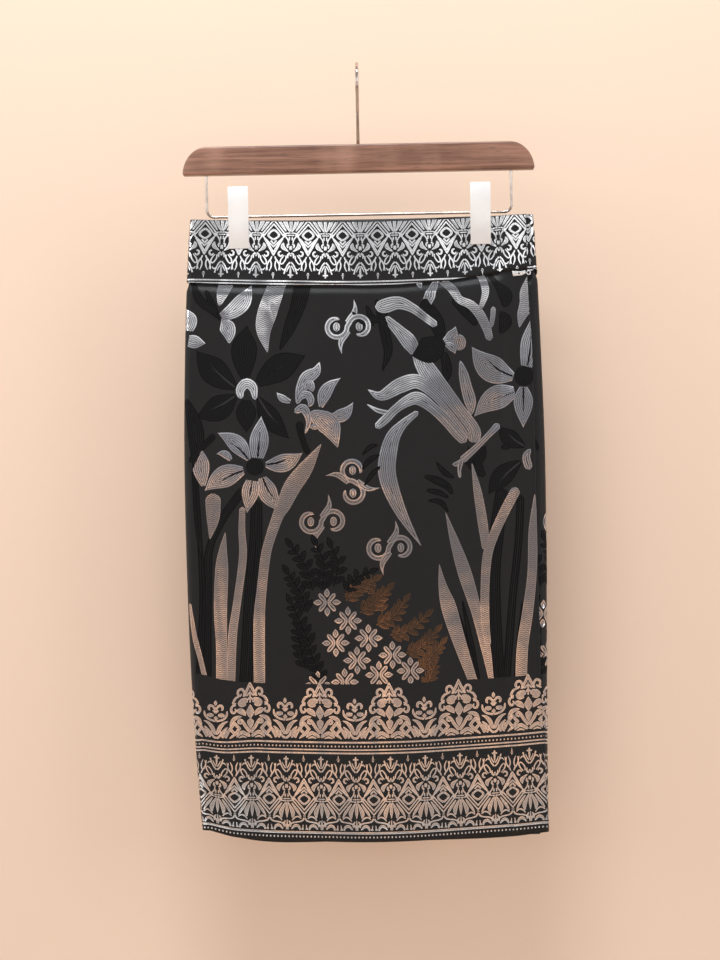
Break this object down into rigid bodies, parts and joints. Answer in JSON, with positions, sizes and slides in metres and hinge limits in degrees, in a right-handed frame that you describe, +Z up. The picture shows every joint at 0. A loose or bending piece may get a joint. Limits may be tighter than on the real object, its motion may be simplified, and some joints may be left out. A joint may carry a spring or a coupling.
{
  "type": "samping on a clip hanger",
  "caption": "Ready-made samping, a flat wrap skirt of dark silver-figured brocade with a woven waistband, hung by two clips from a wooden hanger with a swivel hook",
  "frame": {"origin": "inner top of the hanger's hook, the place that lies on a rail", "axes": "+X to the right of the garment's front, +Y to its back, +Z up; a rail that carries it runs along X"},
  "size_m": [0.3697, 0.0418, 0.8004],
  "materials": {
    "skirt_cloth": "near-black brocade figured with silver thread",
    "band_cloth": "near-black brocade closely figured with silver thread",
    "fastener": "bright nickel plate",
    "wood": "satin walnut-brown lacquer",
    "wire": "bright chrome plate",
    "clip": "bright satin plate"
  },
  "bodies": {
    "root": {"front_panel": "skirt_cloth", "back_panel": "skirt_cloth", "waistband_front": "band_cloth", "waistband_back": "band_cloth", "waist_hook": "fastener", "waist_bar": "fastener", "hanger_bar": "wood", "hanger_hook": "wire", "hanger_wire": "wire", "clip_left_front": "clip", "clip_left_back": "clip", "clip_left_spring": "clip", "clip_right_front": "clip", "clip_right_back": "clip", "clip_right_spring": "clip"}
  },
  "joints": []
}
